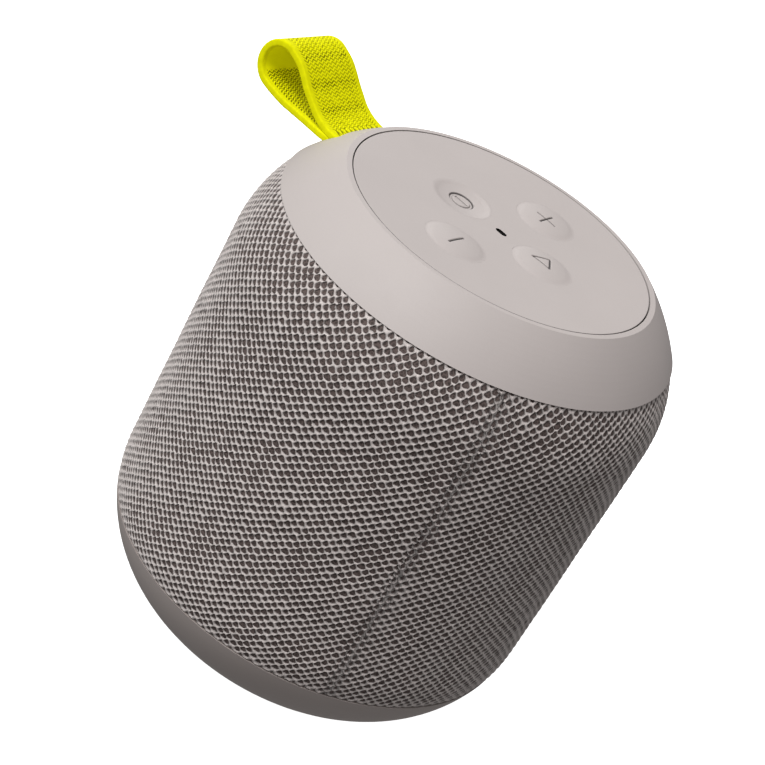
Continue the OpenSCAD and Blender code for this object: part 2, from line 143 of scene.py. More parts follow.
def wave_noise(x, y, count, low, high, seed):
    """Smooth seeded noise from -1 to 1: a sum of sine waves with wavelengths from low to high."""
    own = np.random.default_rng(seed)
    total = np.zeros(np.broadcast(x, y).shape)
    for _ in range(count):
        size, angle, phase = own.uniform(low, high), own.uniform(0, TAU), own.uniform(0, TAU)
        total = total + np.sin(TAU * (x * math.cos(angle) + y * math.sin(angle)) / size + phase)
    return total / math.sqrt(count)


def smoothstep(x):
    """Eases from 0 to 1 as x goes from 0 to 1."""
    x = np.clip(x, 0, 1)
    return x * x * (3 - 2 * x)


# ---- Materials ----


class Nodes:
    """Short hand for building one material's nodes."""

    def __init__(self, name):
        self.material = bpy.data.materials.new(name)
        self.material.use_nodes = True
        self.tree = self.material.node_tree
        self.shader = self.tree.nodes["Principled BSDF"]
        self.place = self.add("ShaderNodeTexCoord").outputs["Object"]

    def add(self, kind, **settings):
        node = self.tree.nodes.new(kind)
        for key, value in settings.items():
            setattr(node, key, value)
        return node

    def link(self, source, target):
        self.tree.links.new(source, target)

    def attribute(self, name):
        return self.add("ShaderNodeAttribute", attribute_name=name).outputs["Fac"]

    def noise(self, size, detail=3, roughness=0.6, place=None, stretch=(1, 1, 1)):
        """Noise whose features are about size millimetres across."""
        spread = self.add("ShaderNodeMapping")
        spread.inputs["Scale"].default_value = stretch
        self.link(place or self.place, spread.inputs["Vector"])
        node = self.add("ShaderNodeTexNoise")
        node.inputs["Scale"].default_value = 1 / (size * MM)
        node.inputs["Detail"].default_value = detail
        node.inputs["Roughness"].default_value = roughness
        self.link(spread.outputs["Vector"], node.inputs["Vector"])
        return node.outputs["Fac"]

    def ramp(self, source, stops):
        """Colour ramp with stops of (position, colour)."""
        node = self.add("ShaderNodeValToRGB")
        bar = node.color_ramp
        while len(bar.elements) < len(stops):
            bar.elements.new(0.5)
        for element, (position, colour) in zip(bar.elements, stops):
            element.position = position
            element.color = (*colour, 1)
        self.link(source, node.inputs["Fac"])
        return node.outputs["Color"]

    def scale(self, source, low, high):
        """Spreads a value from 0..1 over low..high."""
        node = self.add("ShaderNodeMapRange")
        node.inputs["To Min"].default_value = low
        node.inputs["To Max"].default_value = high
        self.link(source, node.inputs["Value"])
        return node.outputs["Result"]

    def mix(self, factor, a, b, blend="MIX"):
        node = self.add("ShaderNodeMix", data_type="RGBA", blend_type=blend)
        for socket, value in zip((node.inputs[0], node.inputs[6], node.inputs[7]), (factor, a, b)):
            if isinstance(value, (int, float)):
                socket.default_value = value
            elif isinstance(value, tuple):
                socket.default_value = (*value, 1)
            else:
                self.link(value, socket)
        return node.outputs[2]

    def bump(self, source, height, strength=1.0, after=None):
        """Bump whose full swing is height millimetres."""
        node = self.add("ShaderNodeBump")
        node.inputs["Strength"].default_value = strength
        node.inputs["Distance"].default_value = height * MM
        self.link(source, node.inputs["Height"])
        if after is not None:
            self.link(after, node.inputs["Normal"])
        return node.outputs["Normal"]

    def finish(self, colour=None, roughness=None, normal=None, **fixed):
        """Links colour, roughness and normal, and sets the numbers that are the same all over."""
        for name, source in (("Base Color", colour), ("Roughness", roughness), ("Normal", normal)):
            if source is not None:
                self.link(source, self.shader.inputs[name])
        for key, value in fixed.items():
            self.shader.inputs[key.replace("_", " ")].default_value = value
        return self.material


def shade(colour, factor):
    """The colour made lighter or darker by a factor."""
    return tuple(min(1.0, c * factor) for c in colour)


def soft_touch(name, colour, grain=0.16, edge=None):
    """Soft-touch plastic: fine even grain and a faint cloudy tone, with painted shade where the
    attribute named by edge is 1.
    """
    n = Nodes(name)
    cloud = n.noise(14, 2, 0.5)
    speck = n.noise(0.35, 2, 0.7)
    tone = n.ramp(cloud, [(0.3, shade(colour, 0.985)), (0.7, shade(colour, 1.012))])
    tone = n.mix(0.05, tone, n.ramp(speck, [(0.35, shade(colour, 0.8)), (0.65, shade(colour, 1.15))]))
    if edge is not None:
        # Painted shade: the colour goes near black where the attribute is 1
        tone = n.mix(n.attribute(edge), tone, shade(colour, 0.02))
    grainy = n.noise(grain, 3, 0.7)
    rough = n.scale(n.noise(3, 3, 0.6), 0.48, 0.60)
    return n.finish(tone, rough, n.bump(grainy, 0.012, 0.6), Specular_IOR_Level=0.35)


def moulded(name, colour, roughness=0.5):
    """Plain moulded plastic, with a slight texture and flow tone."""
    n = Nodes(name)
    tone = n.ramp(n.noise(9, 3), [(0.3, shade(colour, 0.86)), (0.7, shade(colour, 1.15))])
    rough = n.scale(n.noise(2, 3), roughness - 0.08, roughness + 0.1)
    return n.finish(tone, rough, n.bump(n.noise(0.5, 4), 0.02, 0.5))


def rubber(name, colour):
    """Soft rubber: dull, finely pitted, with a dusty tone."""
    n = Nodes(name)
    dust = n.noise(2.5, 4, 0.7)
    tone = n.ramp(dust, [(0.35, shade(colour, 0.92)), (0.75, shade(colour, 1.1))])
    rough = n.scale(n.noise(1.2, 3), 0.68, 0.86)
    return n.finish(tone, rough, n.bump(n.noise(0.25, 4), 0.02, 0.7), Specular_IOR_Level=0.3)


def metal(name, colour, roughness, brushed=(1, 1, 9)):
    """Plated metal, brushed along one direction, with a little tarnish."""
    n = Nodes(name)
    lines = n.noise(1.2, 4, 0.7, stretch=brushed)
    tone = n.ramp(n.noise(5, 3), [(0.3, shade(colour, 0.82)), (0.7, shade(colour, 1.1))])
    rough = n.scale(lines, roughness - 0.1, roughness + 0.12)
    return n.finish(tone, rough, n.bump(lines, 0.008, 0.5), Metallic=1.0)


def circuit_board(name):
    """Green solder mask over a faint pattern of tracks."""
    n = Nodes(name)
    tracks = n.add("ShaderNodeTexVoronoi", feature="DISTANCE_TO_EDGE")
    tracks.inputs["Scale"].default_value = 1 / (2.4 * MM)
    n.link(n.place, tracks.inputs["Vector"])
    tone = n.ramp(
        tracks.outputs["Distance"], [(0.05, (0.035, 0.20, 0.10)), (0.1, (0.012, 0.09, 0.045))]
    )
    rough = n.scale(n.noise(3), 0.25, 0.4)
    return n.finish(tone, rough, n.bump(tracks.outputs["Distance"], 0.03, 0.6))


def cell_wrap(name):
    """Shrink wrap on a battery cell, with faint wrinkles."""
    n = Nodes(name)
    wrinkle = n.noise(4, 4, 0.6, stretch=(1, 1, 0.3))
    tone = n.ramp(wrinkle, [(0.3, (0.05, 0.15, 0.34)), (0.7, (0.09, 0.24, 0.5))])
    return n.finish(tone, n.scale(wrinkle, 0.2, 0.34), n.bump(wrinkle, 0.05, 0.5))


def cable_film(name):
    """Amber film with copper tracks that show through it."""
    n = Nodes(name)
    bands = n.add("ShaderNodeTexWave", wave_type="BANDS", bands_direction="DIAGONAL")
    bands.inputs["Scale"].default_value = 1 / (6 * MM)
    n.link(n.place, bands.inputs["Vector"])
    tone = n.ramp(bands.outputs["Fac"], [(0.4, (0.45, 0.2, 0.03)), (0.6, (0.7, 0.38, 0.09))])
    return n.finish(tone, n.scale(n.noise(2), 0.3, 0.45), n.bump(bands.outputs["Fac"], 0.03))


CAP_COLOUR = (0.560, 0.500, 0.482)
# The cap's colour painted darker, as painted shade on the base below it
BASE_SHADED_COLOUR = (0.420, 0.363, 0.343)
# Yarn: crest colour, and the darker tones of painted shade on the hole walls and in the inner sheet
YARN_LIGHT = (0.85, 0.760, 0.732)
YARN_SIDE = (0.112, 0.089, 0.082)
YARN_DEEP = (0.064, 0.046, 0.042)


def net_yarn():
    """Light yarn of the net: fine fibres, tone that changes a little from stitch to stitch, and
    painted shade from its depth attribute.
    """
    n = Nodes("net_yarn")
    depth = n.attribute("depth")
    fibre = n.noise(0.16, 4, 0.75, stretch=(1, 1, 1.6))
    patch = n.noise(1.1, 2, 0.5)
    # Painted shade and highlight: brightest on the crests, dark on the hole walls
    tone = n.ramp(
        depth,
        [
            (0.0, shade(YARN_LIGHT, 0.98)),
            (0.16, shade(YARN_LIGHT, 0.92)),
            (0.34, shade(YARN_LIGHT, 0.71)),
            (0.62, shade(YARN_LIGHT, 0.3)),
            (1.0, YARN_SIDE),
        ],
    )
    tone = n.mix(1.0, tone, n.ramp(fibre, [(0.3, (0.74,) * 3), (0.7, (1.12,) * 3)]), "MULTIPLY")
    tone = n.mix(1.0, tone, n.ramp(patch, [(0.3, (0.88,) * 3), (0.7, (1.08,) * 3)]), "MULTIPLY")
    return n.finish(
        tone,
        n.scale(fibre, 0.6, 0.85),
        n.bump(fibre, 0.05, 0.9),
        Sheen_Weight=0.15,
        Specular_IOR_Level=0.35,
    )


def under_layer():
    """Inner face of the knit, seen through its holes, painted dark as the shade inside them: crossing
    yarns with gaps.
    """
    n = Nodes("under_layer")
    strands = n.add("ShaderNodeTexVoronoi", feature="DISTANCE_TO_EDGE")
    strands.inputs["Scale"].default_value = 1 / (0.62 * MM)
    n.link(n.place, strands.inputs["Vector"])
    cross = n.ramp(
        strands.outputs["Distance"],
        [(0.04, shade(YARN_DEEP, 2.6)), (0.14, YARN_DEEP), (0.4, shade(YARN_DEEP, 0.6))],
    )
    tone = n.mix(0.4, cross, n.ramp(n.noise(0.3, 3), [(0.3, YARN_DEEP), (0.7, shade(YARN_DEEP, 1.9))]))
    return n.finish(
        tone, n.scale(n.noise(0.5), 0.75, 0.95), n.bump(strands.outputs["Distance"], 0.1, 0.7)
    )


def webbing():
    """Bright webbing: yellow ridges, with painted shade that makes the gaps olive and darker where
    rows of stitching cross.
    """
    n = Nodes("webbing")
    bright, olive, dark = (0.95, 0.935, 0.003), (0.40, 0.39, 0.001), (0.02, 0.02, 0.001)
    fibre = n.noise(0.2, 4, 0.75)
    tone = n.ramp(n.attribute("gap"), [(0.1, bright), (0.6, olive), (1.0, dark)])
    tone = n.mix(1.0, tone, n.ramp(fibre, [(0.25, (0.92,) * 3), (0.75, (1.0,) * 3)]), "MULTIPLY")
    # The emission is painted light: the webbing glows a little, standing in for the brightness of its
    # fluorescent dye
    return n.finish(
        tone,
        n.scale(fibre, 0.7, 0.9),
        n.bump(fibre, 0.03, 0.6),
        Specular_IOR_Level=0.05,
        Emission_Color=(1.0, 0.97, 0.0, 1),
        Emission_Strength=0.09,
    )


SLOT_MATERIALS = {
    "cap_plastic": soft_touch("cap_plastic", CAP_COLOUR),
    "panel_skin": soft_touch("panel_skin", CAP_COLOUR, edge="painted_shade"),
    # The base is the cap's plastic with painted shade
    "base_plastic": soft_touch("base_plastic", BASE_SHADED_COLOUR),
    "mesh_fabric": net_yarn(),
    "strap_webbing": webbing(),
    "grille_plastic": moulded("grille_plastic", (0.03, 0.028, 0.028)),
    "foot_rubber": rubber("foot_rubber", (0.20, 0.18, 0.17)),
    "flap_rubber": rubber("flap_rubber", shade(CAP_COLOUR, 0.92)),
    "black_rubber": rubber("black_rubber", (0.018, 0.018, 0.018)),
    "inner_plastic": moulded("inner_plastic", (0.05, 0.05, 0.055)),
    "board": circuit_board("board"),
    "steel": metal("steel", (0.58, 0.58, 0.60), 0.34),
    "magnet_steel": metal("magnet_steel", (0.36, 0.37, 0.39), 0.42),
    "cone_paper": moulded("cone_paper", (0.03, 0.03, 0.032), 0.7),
    "cell_wrap": cell_wrap("cell_wrap"),
    "cable_film": cable_film("cable_film"),
}

for part in frame["record"]["subparts"]:
    node = frame["nodes"][part["node"]]
    node.data.materials.clear()
    node.data.materials.append(SLOT_MATERIALS[part["material_slot"]])


def dress(piece, slot, material=None):
    """Gives a new piece its material, the one of the record's slot unless another is given."""
    piece.data.materials.append(material or SLOT_MATERIALS[slot])
    return piece


# ---- Fabric: an inner sheet painted dark as shade, under a light net with raised yarns ----

HEEL_ARC = HEEL_R * math.asin((HEEL_Z - FABRIC_LOW[2]) / HEEL_R)
SIDE = SHOULDER_Z - HEEL_Z
SHOULDER_ARC = SHOULDER_R * math.asin((FABRIC_HIGH[2] - SHOULDER_Z) / SHOULDER_R)
FABRIC_LENGTH = HEEL_ARC + SIDE + SHOULDER_ARC
GIRTH = TAU * BODY_R
SEAM_AT = math.radians(223)

# The holes lie in columns and rows, both counted in half steps
HALF_COLUMNS = 252
HALF_ROWS = 86
STEP = np.array([GIRTH / HALF_COLUMNS, FABRIC_LENGTH / HALF_ROWS])
COLUMN_WIDTHS = [0.92, 0.76, 1.16, 0.76]
RIM_HOLE = 0.55
SAG = 0.1
NET_DEPTH = 0.42
NET_INSET = 0.06
NET_SECTORS = 6

# Half the top edge of a cell and half its widest row, in half steps
SHORT_ROW = 0.203
LONG_ROW = 0.797

# A cell's six corners, and the middles of its four sloping sides
HEXAGON = np.array(
    [
        (LONG_ROW, 0),
        (0.5, 0.5),
        (SHORT_ROW, 1),
        (-SHORT_ROW, 1),
        (-0.5, 0.5),
        (-LONG_ROW, 0),
        (-0.5, -0.5),
        (-SHORT_ROW, -1),
        (SHORT_ROW, -1),
        (0.5, -0.5),
    ]
)
CORNERS = np.stack([HEXAGON, (HEXAGON + np.roll(HEXAGON, -1, 0)) / 2], 1).reshape(-1, 2)

# The six of them where three strands meet
AT_JUNCTION = [0, 4, 6, 10, 14, 16]

# Corners that two cells share are matched by their place in this many parts of a half step
KEY_STEPS = 10000

# Share of the cell, roundness and depth of the rings inside each cell's crest
NET_RINGS = ((0.87, 0.4, 0.15), (0.66, 0.92, NET_DEPTH))

# Direction, as an angle, and greatest depth of the notches that stray fibres cut into a hole
NOTCHES = ((-0.8, 0.5), (-2.2, 0.42), (1.7, 0.2))


def fabric_point(along, turn, inset):
    """Place on the fabric from the distance up its side, the angle round it and the depth."""
    beyond = np.clip(along - FABRIC_LENGTH, 0, None) + np.clip(-along, 0, None)
    along = np.clip(along, 0, FABRIC_LENGTH)
    low = np.clip(HEEL_ARC - along, 0, None) / HEEL_R
    high = np.clip(along - HEEL_ARC - SIDE, 0, None) / SHOULDER_R
    r = BODY_R - HEEL_R * (1 - np.cos(low)) - SHOULDER_R * (1 - np.cos(high))
    z = (
        HEEL_Z
        + np.clip(along - HEEL_ARC, 0, SIDE)
        - HEEL_R * np.sin(low)
        + SHOULDER_R * np.sin(high)
    )
    tilt = high - low
    r = r - inset * np.cos(tilt) - beyond
    z = np.clip(z - inset * np.sin(tilt), FABRIC_LOW[2], FABRIC_HIGH[2])
    return np.stack([r * np.cos(turn), r * np.sin(turn), z], -1)


def net_cells():
    """Column and row of every hole, in half steps."""
    c, r = np.meshgrid(np.arange(HALF_COLUMNS), np.arange(HALF_ROWS + 1), indexing="ij")
    keep = (c + r) % 2 == 0
    return c[keep], r[keep]


def looped(v):
    """Row place with the strands between whole rows sagging into loops."""
    part = v % 1
    return v - SAG * 4 * part * (1 - part)


def seam_offset(u):
    """How many half columns a column place lies beyond the middle of the seam."""
    return (u - 0.5 + HALF_COLUMNS / 2) % HALF_COLUMNS - HALF_COLUMNS / 2


def spread_columns(u):
    """Column place with every fourth column wider, and the seam's two columns pushed apart."""
    off = seam_offset(u)
    wide = 0.08 * np.sin(TAU * (u - 2) / 4) + 0.045 * np.sin(TAU * (u - 2) / 2)
    return u + wide + 0.3 * off * np.exp(-(off**2))


def shared_corners(c, r):
    """Every corner of the net once, in half steps, and the numbers of each cell's corners."""
    key = np.round((np.stack([c, r], -1)[:, None, :] + CORNERS) * KEY_STEPS).astype(np.int64)
    key[..., 0] %= HALF_COLUMNS * KEY_STEPS
    unique, index = np.unique(key.reshape(-1, 2), axis=0, return_inverse=True)
    return unique / KEY_STEPS, index.reshape(len(c), len(CORNERS))


def crest_places(corner, index):
    """Place and depth of the strands between the holes, rougher near the seam."""
    from_seam = np.abs(seam_offset(corner[:, 0]))
    place = np.stack([spread_columns(corner[:, 0]), looped(corner[:, 1])], -1) * STEP
    loose = 0.035 + 0.1 * np.exp(-((from_seam / 2) ** 2))
    place = place + rng.normal(0, 1, place.shape) * loose[:, None]
    junction = np.zeros(len(corner), bool)
    junction[index[:, AT_JUNCTION].ravel()] = True
    sunk = 0.03 + 0.09 * np.exp(-((from_seam / 1.1) ** 2))
    # This depth also sets painted shade, so the raised junctions get a painted highlight
    depth = np.where(junction, 0.0, 0.1) + np.abs(rng.normal(0, 1, len(corner))) * sunk
    return place, depth


def hole_sizes(c, r):
    """Middle, size, and stretch across and along of every hole, narrow and tall at the seam."""
    centre = np.stack([spread_columns(c), r], -1) * STEP + rng.normal(0, 0.03, (len(c), 2))
    width = np.choose(c % 4, COLUMN_WIDTHS) * (1 + rng.normal(0, 0.05, len(c)))
    size = 1 + rng.normal(0, 0.05, len(c))
    size = np.where((r == 0) | (r == HALF_ROWS), size * RIM_HOLE, size)
    at_seam = np.exp(-(seam_offset(c) ** 2))
    return centre, size, np.stack([width * (1 - 0.22 * at_seam), 1 + 0.38 * at_seam], -1)


def seam_fray(corner):
    """Extra darkness of the strands, most in the seam's two columns of stitches."""
    from_seam = np.abs(seam_offset(corner[:, 0]))
    dark = rng.uniform(0.3, 2.0, len(corner))
    stitches = np.exp(-(((from_seam - 0.55) / 0.36) ** 2))
    return dark * (stitches + 0.2 * np.exp(-((from_seam / 2.4) ** 2)))


def hole_notches(c, facing):
    """Share of its reach that each corner of a hole keeps, where stray fibres cut into it."""
    notch = 1 + rng.normal(0, 0.05, (len(c), len(CORNERS)))
    for toward, deepest in NOTCHES:
        off = (facing - toward - rng.normal(0, 0.25, len(c))[:, None] + math.pi) % TAU - math.pi
        deep = rng.uniform(0, deepest, len(c))[:, None]
        notch = notch * (1 - deep * np.exp(-((off / 0.3) ** 2)))
    torn = np.exp(-((seam_offset(c) / 2) ** 2))[:, None]
    return notch * (1 - torn * rng.uniform(0, 0.6, notch.shape))


def net_sector(k, mine, index, crest, rings):
    """One sector of the net. A row of crest or of a ring is place across and along, depth, shade."""
    used, local = np.unique(index[mine], return_inverse=True)
    here = [local.reshape(-1, len(CORNERS))]
    rows = [crest[used]]
    count = len(used)
    for ring in rings:
        rows.append(ring[mine].reshape(-1, 4))
        here.append(count + np.arange(len(rows[-1])).reshape(-1, len(CORNERS)))
        count += len(rows[-1])
    quads = []
    for outer, inner in zip(here, here[1:]):
        next_outer, next_inner = np.roll(outer, -1, 1), np.roll(inner, -1, 1)
        quads.append(np.stack([outer, next_outer, next_inner, inner], -1).reshape(-1, 4))
    across, along, depth, tone = np.concatenate(rows).T
    if k == 0:
        across = np.where(across > GIRTH / 2, across - GIRTH, across)
    sway = 0.22 * wave_noise(across, along, 5, 18, 40, 5)
    ripple = 0.05 * wave_noise(across, along, 5, 9, 26, 6)
    turn = SEAM_AT + (across + sway) / BODY_R
    points = fabric_point(along + sway * 0.6, turn, depth + NET_INSET + ripple)
    # The depth attribute holds the painted shade, not the depth itself
    piece = mesh_object(f"fabric_net_{k + 1}", points, quads, {"depth": np.clip(tone, 0, 1)})
    return dress(piece, "mesh_fabric")


def make_net():
    """Net sectors: every hole has a crest shared with its neighbours, a shoulder and a wall."""
    c, r = net_cells()
    corner, index = shared_corners(c, r)
    crest, crest_depth = crest_places(corner, index)
    centre, size, stretch = hole_sizes(c, r)
    # Painted shade of the crest from its depth, with the seam's stitches darker
    crest_shade = crest_depth / NET_DEPTH + seam_fray(corner)
    reach = np.stack([CORNERS[:, 0], looped(CORNERS[:, 1])], -1) * STEP
    facing = np.arctan2(reach[:, 1], reach[:, 0])
    # A hole is a dome, narrow at its top and flat at its bottom
    lift = np.sin(facing)
    flat_bottom = np.maximum(lift * 1.05 + 0.05, -0.7)
    dome = 0.9 * np.stack([np.cos(facing) * (1 - 0.38 * lift), flat_bottom], -1)
    notch = hole_notches(c, facing)
    rings = []
    for share, roundness, depth in NET_RINGS:
        outline = reach * (1 - roundness) + dome * roundness
        shape = outline[None] * (size * share)[:, None, None]
        if roundness > 0.5:
            shape = shape * notch[..., None]
        place = centre[:, None, :] + shape * stretch[:, None, :] ** roundness
        deep = np.full(notch.shape, depth)
        # Painted shade that grows with the ring's depth, darker on the hole's upper side and lighter
        # on its lower side, as light falls from above
        ring_shade = deep * (1 + 0.4 * lift) / NET_DEPTH
        rings.append(np.concatenate([place, deep[..., None], ring_shade[..., None]], -1))
    crest = np.column_stack([crest, crest_depth, crest_shade])
    sector = c // (HALF_COLUMNS // NET_SECTORS)
    return [net_sector(k, sector == k, index, crest, rings) for k in range(NET_SECTORS)]


def make_under_layer():
    """Closed sheet that shows through the net's holes, painted dark as the shade inside them."""
    columns, rows = HALF_COLUMNS, 90
    along = np.linspace(0, FABRIC_LENGTH, rows)
    turn = np.arange(columns) * TAU / columns
    a, t = np.meshgrid(along, turn, indexing="ij")
    points = fabric_point(a, t, NET_DEPTH - 0.02).reshape(-1, 3)
    piece = mesh_object("fabric_under_layer", points, [strip_faces(rows, columns, True)])
    return dress(piece, "mesh_fabric", under_layer())


net_sectors = make_net()
fabric = make_under_layer()
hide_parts("fabric_sleeve")
for piece in [fabric, *net_sectors]:
    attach(piece, "housing")


# ---- Hanging loop ----

# ROOT is where the loop leaves the cap, and END_AT the middle of its round end, in Y and Z
ROOT = np.array([41.1, TOP_Z - 5.3])
PIN = centre_mm("strap_pin")[1:]
PIN_R = 1.55
LOOP_HIGH = box_mm("hang_strap")[1]
STRAP_W = 2 * LOOP_HIGH[0]
STRAP_T = 1.5
END_R = 5.4
END_AT = np.array([LOOP_HIGH[1] - END_R, LOOP_HIGH[2] - END_R])
SELVEDGE_R = 0.4

# Spacing of the mesh on the loop outside the cap, and inside it
FINE = 0.15
COARSE = 0.6

# Weave: width of a zigzag, distance between its courses, and its depth on the two faces
ZIG = 1.46
CHEVRON = 0.76
OUTER_SINK = 0.16
INNER_SINK = 0.2

# Rows of stitching across the webbing, and the plain edge beside the weave
STITCH_EVERY = 5.6
STITCH_W = 0.8
EDGE_W = 1.15


def arc_points(centre, r, a0, a1, n):
    """Points on an arc from one angle to another, in degrees."""
    a = np.radians(np.linspace(a0, a1, n))
    return np.stack([centre[0] + r * np.cos(a), centre[1] + r * np.sin(a)], -1)


def strap_path():
    """Middle line of the webbing in Y and Z: round the pin, out, round the end and back."""
    turn_r = END_R - STRAP_T / 2
    pin_r = PIN_R + STRAP_T / 2
    lower = [ROOT + (0, -0.76), ROOT + (4.0, -0.74), ROOT + (8.0, -0.72), ROOT + (11.2, -0.60)]
    upper = [ROOT + (10.8, 7.95), ROOT + (9.0, 6.66), ROOT + (7.1, 5.05), ROOT + (4.8, 3.42)]
    flare = [ROOT + (2.6, 2.0), ROOT + (0, 1.0), ROOT + (-3.2, 0.5)]
    knots = np.concatenate(
        [
            arc_points(PIN, pin_r, 180, 262, 5),
            [PIN + (3.5, -1.75), ROOT + (-2.6, -0.82)],
            lower,
            arc_points(END_AT, turn_r, -72, 116, 11),
            upper,
            flare,
            arc_points(PIN, pin_r, 90, 150, 4),
        ]
    )
    return closed_curve(knots)


def closed_curve(knots, per_span=40):
    """Smooth closed curve through the knots, by centripetal Catmull-Rom spans."""
    out = []
    count = len(knots)
    for i in range(count):
        p = [knots[(i + k - 1) % count] for k in range(4)]
        t = [0.0]
        for a, b in zip(p, p[1:]):
            t.append(t[-1] + math.sqrt(np.linalg.norm(b - a)))
        for s in np.linspace(t[1], t[2], per_span, endpoint=False):
            a = [
                ((t[k + 1] - s) * p[k] + (s - t[k]) * p[k + 1]) / (t[k + 1] - t[k])
                for k in range(3)
            ]
            b = [((t[k + 2] - s) * a[k] + (s - t[k]) * a[k + 1]) / (t[k + 2] - t[k]) for k in range(2)]
            out.append(((t[2] - s) * b[0] + (s - t[1]) * b[1]) / (t[2] - t[1]))
    return np.array(out)


def resample(line):
    """Points along a closed line, close together outside the cap and further apart inside."""
    loop = np.vstack([line, line[:1]])
    run = np.concatenate([[0], np.cumsum(np.linalg.norm(np.diff(loop, axis=0), axis=1))])
    at, stations = 0.0, []
    while at < run[-1] - 0.3 * FINE:
        stations.append(at)
        y = np.interp(at, run, loop[:, 0])
        at += FINE if y > ROOT[0] - 2 else COARSE
    stations = np.array(stations)
    points = np.stack([np.interp(stations, run, loop[:, k]) for k in range(2)], -1)
    return stations, points, run[-1]


def strap_section():
    """Points round the webbing's section: [across, side] with side 1 out, -1 in, and the edges."""
    half, edge = STRAP_W / 2, STRAP_T / 2
    flat = np.arange(-half + SELVEDGE_R, half - SELVEDGE_R + 0.01, FINE)
    turn = np.radians(np.linspace(90, 0, 6)[1:])
    corner = np.stack(
        [half - SELVEDGE_R * (1 - np.cos(turn)), edge - SELVEDGE_R * (1 - np.sin(turn))], -1
    )
    right = np.concatenate([corner, corner[::-1] * (1, -1)])
    return np.concatenate(
        [
            np.stack([flat, np.full_like(flat, edge)], -1),
            right,
            np.stack([flat[::-1], np.full_like(flat, -edge)], -1),
            right[::-1] * (-1, 1),
        ]
    )


def weave(u, v):
    """Depth of the weave, 0 on its ridges and 1 in its gaps, at places across and along."""
    v = v + 0.05 * wave_noise(u, v, 4, 2.0, 5.0, 11)
    zig = np.abs(2 * ((u / ZIG) % 1) - 1)
    course = v / CHEVRON + 0.75 * zig
    ridge = 0.5 - 0.5 * np.cos(TAU * course)
    stitches = np.random.default_rng(17).uniform(0.62, 1.1, (64, 512))
    column = np.floor(u / (ZIG / 2)).astype(int) % 64
    tight = stitches[column, np.floor(course + 0.5).astype(int) % 512]
    return np.clip((1 - ridge) * tight, 0, 1)


def weave_gap(depth, v, outer, round_end):
    """Painted shade in the weave's gaps: most at rows of stitching outside, none inside the round end.
    """
    row = np.abs((v / STITCH_EVERY) % 1 - 0.5) * STITCH_EVERY
    stitched = np.exp(-((row / STITCH_W) ** 2))
    outside = depth * (0.76 + 0.36 * stitched)
    inside = np.clip(depth * 1.5 - 0.1, 0, 1) * (1 - round_end)
    return np.where(outer, outside, inside)


def at_round_end(line):
    """1 along the loop's round end, easing to 0 on its two legs."""
    high_up = smoothstep((line[:, 1] - END_AT[1] + 3.6) / 0.5)
    return (high_up * smoothstep(line[:, 0] - END_AT[0] - 1))[:, None]


def outward(line):
    """Direction out of the webbing's outer face at each point of its middle line."""
    run = np.roll(line, -1, 0) - np.roll(line, 1, 0)
    along = run / np.linalg.norm(run, axis=1)[:, None]
    return np.stack([along[:, 1], -along[:, 0]], -1)


def ring_faces(rows, columns):
    """Quads of a grid of points that is closed both ways."""
    first = np.arange(columns)
    last = (rows - 1) * columns + first
    closing = np.stack([last, np.roll(last, -1), np.roll(first, -1), first], -1)
    return np.concatenate([strip_faces(rows, columns, True), closing])[:, ::-1]


def make_strap():
    """Webbing all round its path: woven faces, plain rolled edges and a smooth round end inside."""
    stations, line, length = resample(strap_path())
    section = strap_section()
    u = np.repeat(section[None, :, 0], len(line), 0)
    v = np.repeat(stations[:, None], len(section), 1)
    side = section[None, :, 1] / (STRAP_T / 2)
    outer = side > 0
    face = smoothstep((STRAP_W / 2 - EDGE_W - np.abs(u)) / 0.5) * (np.abs(side) > 0.999)
    depth = weave(u, v)
    round_end = at_round_end(line)
    edge_tone = 0.23 + 0.03 * wave_noise(u, v, 4, 0.8, 2.0, 12)
    # The gap attribute carries the painted shade of the weave
    gap = weave_gap(depth, v, outer, round_end) * face + edge_tone * (1 - face)
    gap = np.where(face > 0, gap, edge_tone)
    sink = face * depth * np.where(outer, OUTER_SINK, INNER_SINK) * (1 - 0.9 * round_end * ~outer)
    off = section[None, :, 1] - np.sign(side) * sink
    wobble = 0.06 * wave_noise(v, v * 0, 3, 7, 15, 13) * np.sign(u)
    yz = line[:, None, :] + outward(line)[:, None, :] * off[..., None]
    points = np.concatenate([(u + wobble)[..., None], yz], -1).reshape(-1, 3)
    piece = mesh_object(
        "webbing_loop",
        points,
        [ring_faces(len(line), len(section))],
        {"gap": np.clip(gap, 0, 1).ravel()},
        uv=np.stack([u.ravel(), v.ravel()], -1) * 0.01,
    )
    return dress(piece, "strap_webbing"), length


strap, strap_length = make_strap()
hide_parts("hang_strap", "strap_tail")
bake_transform(strap)


# ---- Panel and buttons ----

DISH = 1.0
PANEL_RIM_Z = TOP_Z - 0.04
PANEL_UNDER_Z = PANEL_LOW[2] + 1.02
BALL_R = (PANEL_R**2 + DISH**2) / (2 * DISH)
PANEL_SEGMENTS = 288
PANEL_PITCH = 0.85
RIM_ROLL = 0.12
ROLL_STEPS = np.radians([0, 22, 45, 68, 90])
# Painted shade on the rolled rim's rings, darkening down into the groove round the panel
RIM_PAINTED_SHADE = (0, 0.1, 0.5, 0.85, 0.9, 0.9)
POWER_AT = centre_mm("power_button")[:2]
PLAY_AT = centre_mm("play_button")[:2]
PLUS_AT = centre_mm("plus_button")[:2]
MINUS_AT = centre_mm("minus_button")[:2]
KEY_PLACES = (POWER_AT, PLAY_AT, PLUS_AT, MINUS_AT)
HOLE_R = 6.45
HOLE_SEGMENTS = 144
MIC_HALF = (0.7, 1.3)

